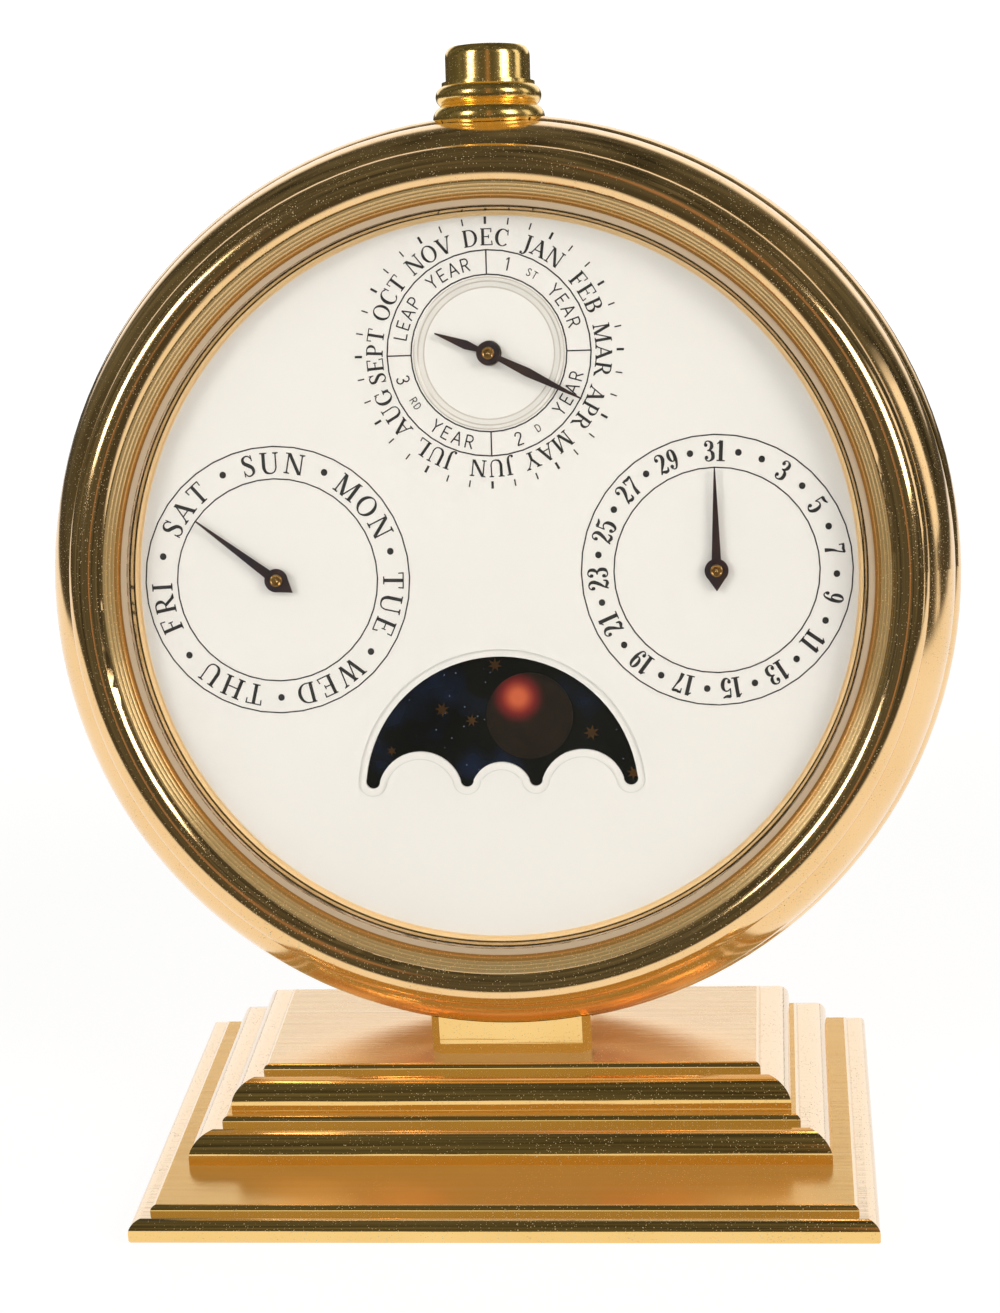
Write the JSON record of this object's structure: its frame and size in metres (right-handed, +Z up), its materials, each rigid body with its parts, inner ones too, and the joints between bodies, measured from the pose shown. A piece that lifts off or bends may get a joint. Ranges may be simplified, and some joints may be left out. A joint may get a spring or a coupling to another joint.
{
  "type": "perpetual desk calendar",
  "caption": "Desk calendar: a round leaning case on a stepped, moulded stand, with hands for the day, date, month and leap year, a moon opening and a push button on top.",
  "frame": {"origin": "centre of the underside of the stand, on the surface it stands on", "axes": "+Z up, -Y towards the viewer in front of the dial, +X to the viewer's right"},
  "size_m": [0.1216, 0.0699, 0.1441],
  "materials": {
    "gilt_brass": "polished and gilt, with the flat tops of the stand satin brushed",
    "plain_brass": "machined",
    "steel": "machined",
    "felt": "napped",
    "glass": "polished and clear",
    "gasket": "smooth",
    "dial_enamel": "satin lacquer with printed scales",
    "black_paint": "gloss",
    "navy_paint": "satin",
    "gilt_paint": "thin gilt foil"
  },
  "bodies": {
    "calendar": {"foot_pad": "felt", "base_plate": "gilt_brass", "middle_tier": "gilt_brass", "top_tier": "gilt_brass", "tier_screws": "steel", "neck": "gilt_brass", "neck_screw": "steel", "case_screws": "steel", "case_band": "gilt_brass", "front_bezel": "gilt_brass", "crystal": "glass", "crystal_gasket": "gasket", "dial_flange": "gilt_brass", "dial_plate": "dial_enamel", "movement_ring": "plain_brass", "main_plate": "plain_brass", "plate_screws": "steel", "pillars": "plain_brass", "rear_bridge": "plain_brass", "bridge_screws": "steel", "back_cover": "gilt_brass", "cover_screws": "steel", "button_collar": "gilt_brass", "button_spring": "steel", "lever_screw": "steel", "jumper_springs": "steel", "jumper_screws": "steel"},
    "button": {"push_button": "gilt_brass", "button_stem": "steel"},
    "lever": {"advance_lever": "steel"},
    "date_train": {"date_star": "plain_brass", "date_arbor": "plain_brass", "date_hand": "black_paint"},
    "day_train": {"day_star": "plain_brass", "day_arbor": "plain_brass", "day_hand": "black_paint"},
    "moon_train": {"moon_wheel": "plain_brass", "moon_arbor": "plain_brass", "moon_disc": "navy_paint", "gilt_moons": "gilt_paint"},
    "month_train": {"month_star": "plain_brass", "month_pinion": "plain_brass", "month_arbor": "plain_brass", "month_hand": "black_paint"},
    "idler": {"idler_wheel": "plain_brass", "idler_arbor": "steel"},
    "leap_train": {"leap_wheel": "plain_brass", "leap_pipe": "plain_brass", "leap_hand": "black_paint"},
    "day_pin": {"day_corrector": "steel"},
    "month_pin": {"month_corrector": "steel"},
    "moon_pin": {"moon_corrector": "steel"}
  },
  "joints": [
    {"name": "button_press", "type": "slide", "parent": "calendar", "child": "button", "axis": [0, 0.225, 0.9744], "range_m": [-0.002, 0], "stiffness_N_per_m": 300, "springref_m": 0.003, "deforming": ["button_spring"]},
    {"name": "lever_swing", "type": "hinge", "parent": "calendar", "child": "lever", "pos_m": [-0.02, 0.02518, 0.11202], "axis": [0, -0.9744, 0.225], "range_deg": [-5.8, 0]},
    {"name": "date_turn", "type": "hinge", "parent": "calendar", "child": "date_train", "pos_m": [0.0289, 0.00765, 0.07768], "axis": [0, 0.9744, -0.225], "continuous": true},
    {"name": "day_turn", "type": "hinge", "parent": "calendar", "child": "day_train", "pos_m": [-0.0289, 0.00765, 0.07768], "axis": [0, 0.9744, -0.225], "continuous": true},
    {"name": "moon_turn", "type": "hinge", "parent": "calendar", "child": "moon_train", "pos_m": [0, 0.00117, 0.04962], "axis": [0, 0.9744, -0.225], "continuous": true},
    {"name": "month_turn", "type": "hinge", "parent": "calendar", "child": "month_train", "pos_m": [0, 0.01415, 0.10584], "axis": [0, 0.9744, -0.225], "continuous": true},
    {"name": "idler_turn", "type": "hinge", "parent": "calendar", "child": "idler", "pos_m": [0.0063, 0.01415, 0.10584], "axis": [0, 0.9744, -0.225], "continuous": true},
    {"name": "leap_turn", "type": "hinge", "parent": "calendar", "child": "leap_train", "pos_m": [0, 0.01415, 0.10584], "axis": [0, 0.9744, -0.225], "continuous": true},
    {"name": "day_pin_press", "type": "slide", "parent": "calendar", "child": "day_pin", "axis": [0, -0.9744, 0.225], "range_m": [0, 0.0012], "stiffness_N_per_m": 150, "springref_m": -0.003},
    {"name": "month_pin_press", "type": "slide", "parent": "calendar", "child": "month_pin", "axis": [0, -0.9744, 0.225], "range_m": [0, 0.0012], "stiffness_N_per_m": 150, "springref_m": -0.003},
    {"name": "moon_pin_press", "type": "slide", "parent": "calendar", "child": "moon_pin", "axis": [0, -0.9744, 0.225], "range_m": [0, 0.0012], "stiffness_N_per_m": 150, "springref_m": -0.003}
  ],
  "couplings": [
    {"joint": "lever_swing", "follows": "button_press", "rad_per_m": 50},
    {"joint": "day_turn", "follows": "date_turn", "ratio": 4.4286},
    {"joint": "moon_turn", "follows": "date_turn", "ratio": 0.52542},
    {"joint": "idler_turn", "follows": "month_turn", "ratio": -0.5},
    {"joint": "leap_turn", "follows": "month_turn", "ratio": 0.25}
  ]
}
